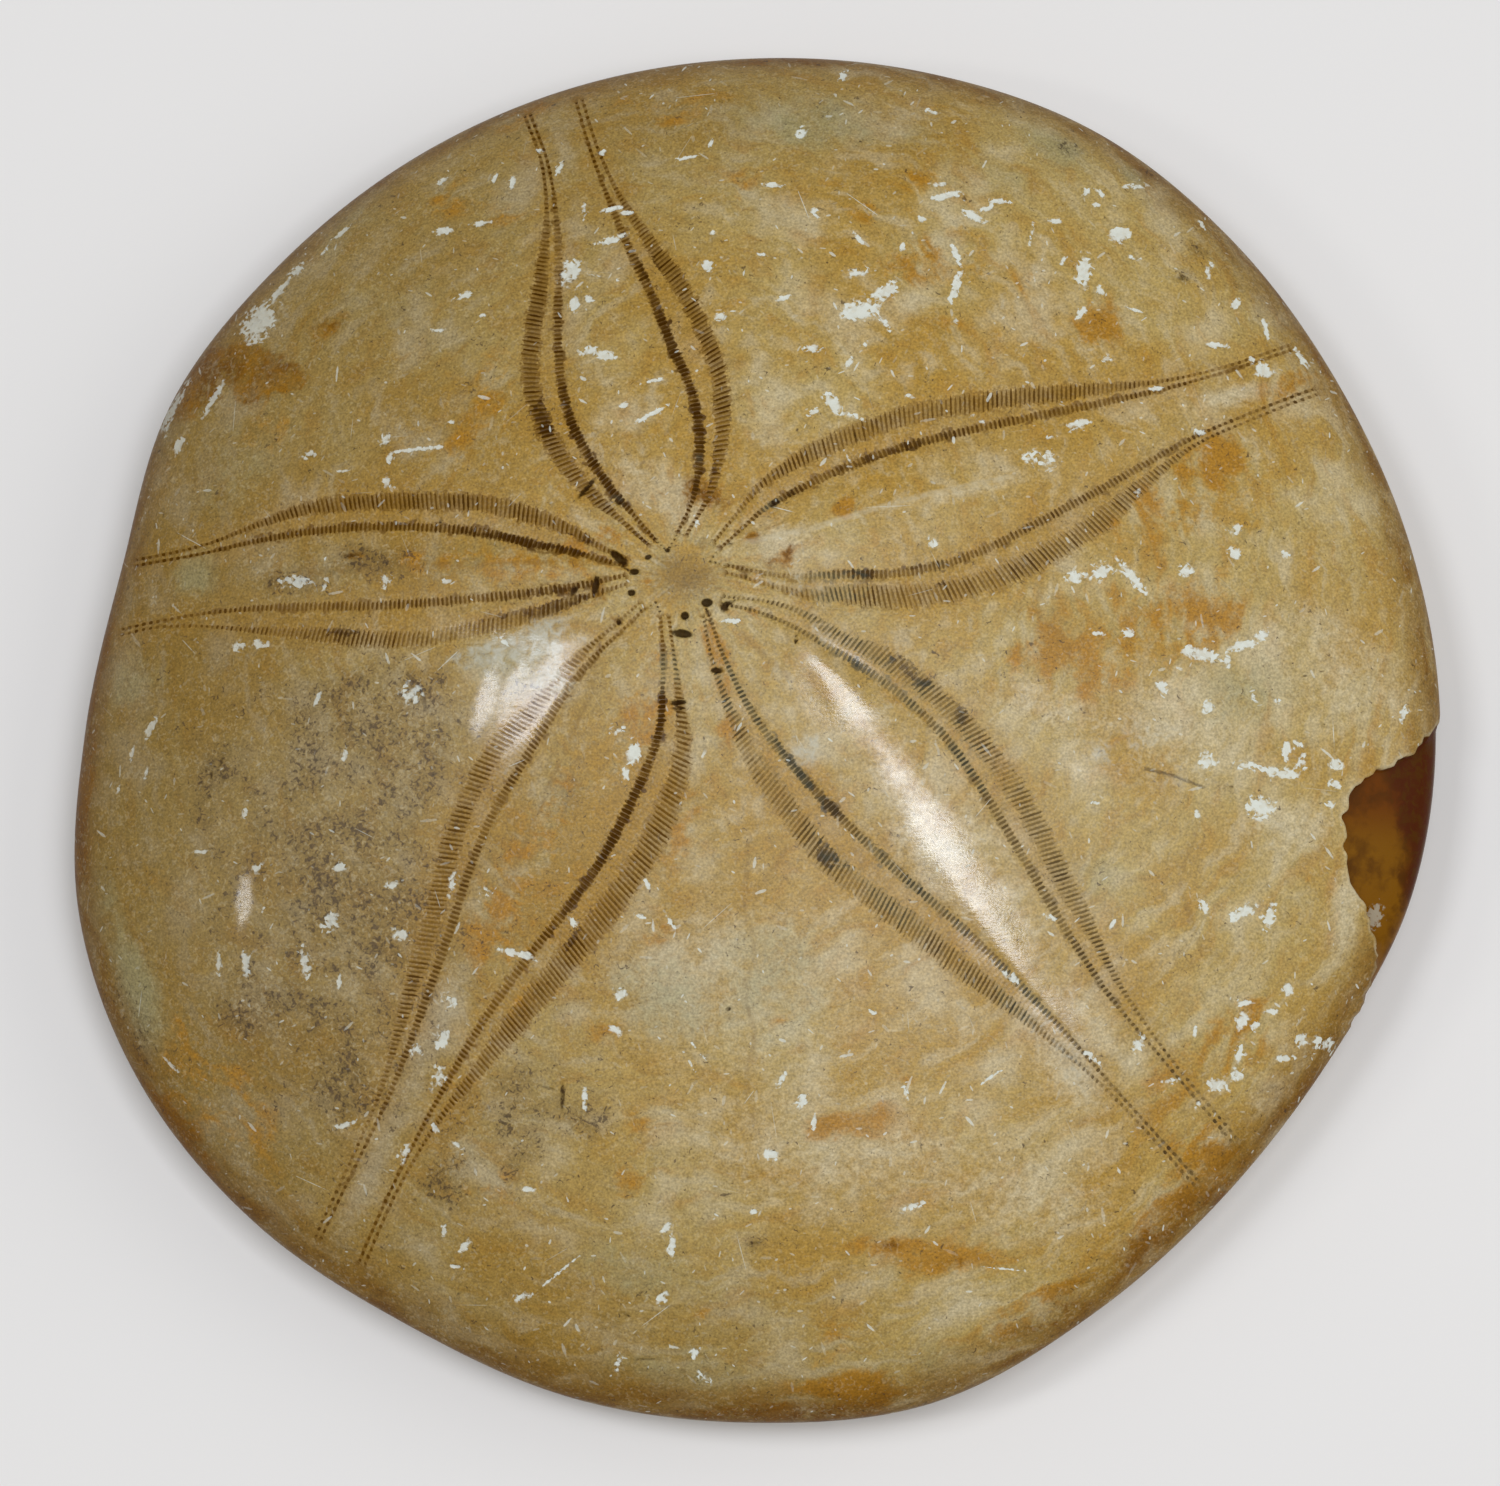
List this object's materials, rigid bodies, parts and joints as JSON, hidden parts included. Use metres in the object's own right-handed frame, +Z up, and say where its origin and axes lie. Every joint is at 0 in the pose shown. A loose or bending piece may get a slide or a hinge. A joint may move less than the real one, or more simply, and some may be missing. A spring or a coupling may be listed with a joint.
{
  "type": "fossil sand dollar",
  "caption": "Polished fossil sand dollar: a low stone dome with a five-petal pattern of pores and a flat underside, a natural specimen to display or handle.",
  "frame": {"origin": "on the floor, under the middle of the outline's box", "axes": "+Z up out of the dome, away from the flat underside; +Y towards the front petal, which leans 16 degrees from +Y to -X; +X to the right as seen from above"},
  "size_m": [0.0957, 0.0965, 0.021],
  "materials": {
    "polished_fossil_stone": "polished tan calcite with brown pores, ochre and rust stains, grey specks and small chalky white scratches"
  },
  "bodies": {
    "root": {"sand_dollar": "polished_fossil_stone"}
  },
  "joints": []
}
